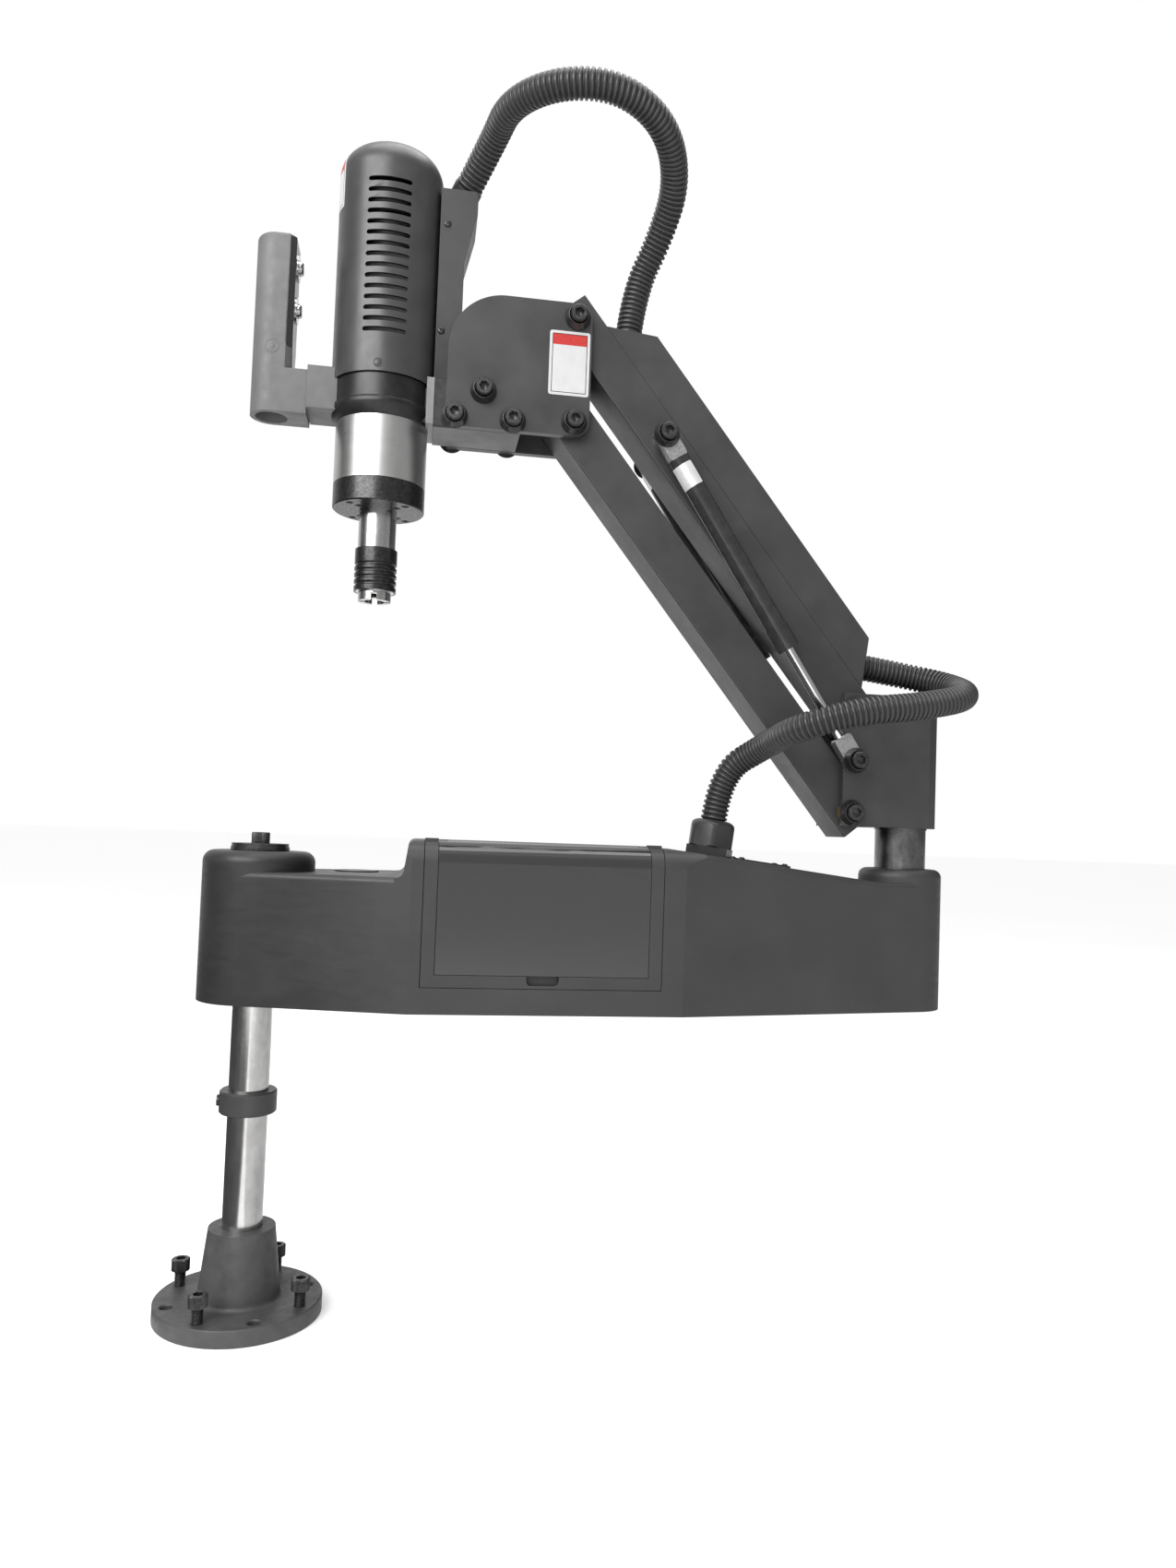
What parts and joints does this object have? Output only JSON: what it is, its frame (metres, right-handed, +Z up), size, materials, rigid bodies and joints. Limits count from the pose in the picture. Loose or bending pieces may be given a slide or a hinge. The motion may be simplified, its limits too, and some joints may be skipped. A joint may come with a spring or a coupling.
{
  "type": "arm tapping machine",
  "caption": "Floor-flanged column with a swinging box arm and control bay, a gas-sprung parallelogram arm and a geared servo tapping head with grip, push buttons and quick-change chuck",
  "frame": {"origin": "centre of the base flange's underside, on the column's axis", "axes": "+Z up the column, +X along the box arm from the column to the pillar, -Y the side with the control lid"},
  "size_m": [0.7317, 0.228, 1.0864],
  "materials": {
    "black_paint": "satin powder coat with a fine orange peel",
    "box_shell": "moulded, finely textured matte black",
    "case_shell": "drawn aluminium case, satin black paint",
    "lid_gloss": "polished smoky black acrylic",
    "grip_plastic": "moulded grip, fine matte texture",
    "gland_plastic": "moulded nylon, slightly shiny",
    "panel_plastic": "moulded equipment case",
    "hose_plastic": "corrugated polyamide, semi-matte",
    "black_bolts": "black oxide",
    "black_alloy": "black anodised",
    "ground_steel": "ground and bright",
    "zinc_steel": "bright zinc plate",
    "chrome_rod": "hard chrome",
    "bronze": "oiled bronze"
  },
  "bodies": {
    "base": {"base_flange": "black_paint", "base_bolts": "black_bolts", "column": "ground_steel", "column_cap": "black_bolts"},
    "collar": {"height_collar": "black_paint", "collar_screw": "black_bolts"},
    "swing_arm": {"arm_housing": "box_shell", "bottom_cover": "black_paint", "arm_frame": "black_paint", "swing_bearings": "ground_steel", "lid_frame": "box_shell", "lid_hinge_pins": "ground_steel", "touch_screen": "panel_plastic", "servo_drive": "panel_plastic", "cable_gland": "gland_plastic", "gland_nut": "gland_plastic", "deck_plug": "gland_plastic", "slope_plate": "gland_plastic", "hose_drop": "hose_plastic"},
    "control_lid": {"control_lid": "lid_gloss"},
    "rear_bracket": {"pillar": "ground_steel", "pillar_washer": "ground_steel", "rear_bracket": "black_paint", "rear_pivot_shafts": "ground_steel", "rear_bolts": "black_bolts"},
    "upper_arm": {"upper_arm": "black_paint", "upper_arm_bushes": "bronze", "cable_cover": "black_paint", "cover_screws": "black_bolts", "spring_arm_bolts": "black_bolts", "upper_hose": "hose_plastic", "hose_tail": "hose_plastic"},
    "lower_arm": {"lower_arm": "black_paint", "lower_arm_bushes": "bronze"},
    "spring_cylinders": {"spring_cylinders": "black_paint", "spring_cylinder_eyes": "zinc_steel"},
    "spring_rods": {"spring_rods": "chrome_rod", "spring_rod_eyes": "zinc_steel"},
    "head": {"head_plates": "black_paint", "front_pivot_shafts": "ground_steel", "head_block": "black_alloy", "head_bolts": "black_bolts", "mounting_plate": "ground_steel", "holder_ring": "black_alloy", "gear_reducer": "ground_steel", "end_ring": "black_bolts", "servo_motor": "panel_plastic", "motor_case": "case_shell", "wire_box": "case_shell", "head_screws": "zinc_steel", "handle_grip": "grip_plastic", "handle_clamp": "grip_plastic", "button_bezels": "chrome_rod", "hose_ferrule": "gland_plastic"},
    "spindle": {"spindle": "ground_steel", "chuck_body": "ground_steel"},
    "chuck_sleeve": {"chuck_sleeve": "black_alloy"},
    "button_forward": {"button_forward": "chrome_rod"},
    "button_reverse": {"button_reverse": "chrome_rod"}
  },
  "joints": [
    {"name": "column_swing", "type": "hinge", "parent": "base", "child": "swing_arm", "pos_m": [0, 0, 0.3], "axis": [0, 0, 1], "continuous": true},
    {"name": "collar_slide", "type": "slide", "parent": "base", "child": "collar", "axis": [0, 0, 1], "range_m": [-0.1, 0.08]},
    {"name": "pillar_swing", "type": "hinge", "parent": "swing_arm", "child": "rear_bracket", "pos_m": [0.6125, 0, 0.4], "axis": [0, 0, 1], "range_deg": [-180, 180], "deforming": ["hose_tail", "hose_drop"]},
    {"name": "lid_hinge", "type": "hinge", "parent": "swing_arm", "child": "control_lid", "pos_m": [0.25125, -0.0615, 0.4232], "axis": [-1, 0, 0], "range_deg": [0, 110]},
    {"name": "arm_lift", "type": "hinge", "parent": "rear_bracket", "child": "upper_arm", "pos_m": [0.5478, 0, 0.5628], "axis": [0, 1, 0], "range_deg": [-31, 12.6], "deforming": ["upper_hose", "hose_tail", "hose_drop"]},
    {"name": "lower_arm_pivot", "type": "hinge", "parent": "rear_bracket", "child": "lower_arm", "pos_m": [0.5478, 0, 0.4641], "axis": [0, 1, 0], "range_deg": [-31.1, 12.7]},
    {"name": "head_pivot", "type": "hinge", "parent": "upper_arm", "child": "head", "pos_m": [0.26705, 0, 0.91448], "axis": [0, 1, 0], "range_deg": [-12.7, 31.1]},
    {"name": "spring_top_pivot", "type": "hinge", "parent": "upper_arm", "child": "spring_cylinders", "pos_m": [0.35252, 0, 0.80741], "axis": [0, 1, 0], "range_deg": [-1.4, 3.2]},
    {"name": "spring_foot_pivot", "type": "hinge", "parent": "rear_bracket", "child": "spring_rods", "pos_m": [0.5451, 0, 0.513], "axis": [0, 1, 0], "range_deg": [-28.1, 11.5]},
    {"name": "spindle_turn", "type": "hinge", "parent": "head", "child": "spindle", "pos_m": [0.0912, 0, 0.7], "axis": [0, 0, 1], "continuous": true},
    {"name": "sleeve_slide", "type": "slide", "parent": "spindle", "child": "chuck_sleeve", "axis": [0, 0, 1], "range_m": [0, 0.006], "stiffness_N_per_m": 600, "springref_m": -0.004},
    {"name": "forward_press", "type": "slide", "parent": "head", "child": "button_forward", "axis": [-1, 0, 0], "range_m": [0, 0.003], "stiffness_N_per_m": 400, "springref_m": -0.002},
    {"name": "reverse_press", "type": "slide", "parent": "head", "child": "button_reverse", "axis": [-1, 0, 0], "range_m": [0, 0.003], "stiffness_N_per_m": 400, "springref_m": -0.002}
  ],
  "couplings": [
    {"joint": "lower_arm_pivot", "follows": "arm_lift", "ratio": 1},
    {"joint": "head_pivot", "follows": "arm_lift", "ratio": -1},
    {"joint": "spring_top_pivot", "follows": "arm_lift", "ratio": -0.1},
    {"joint": "spring_foot_pivot", "follows": "arm_lift", "ratio": 0.9}
  ]
}
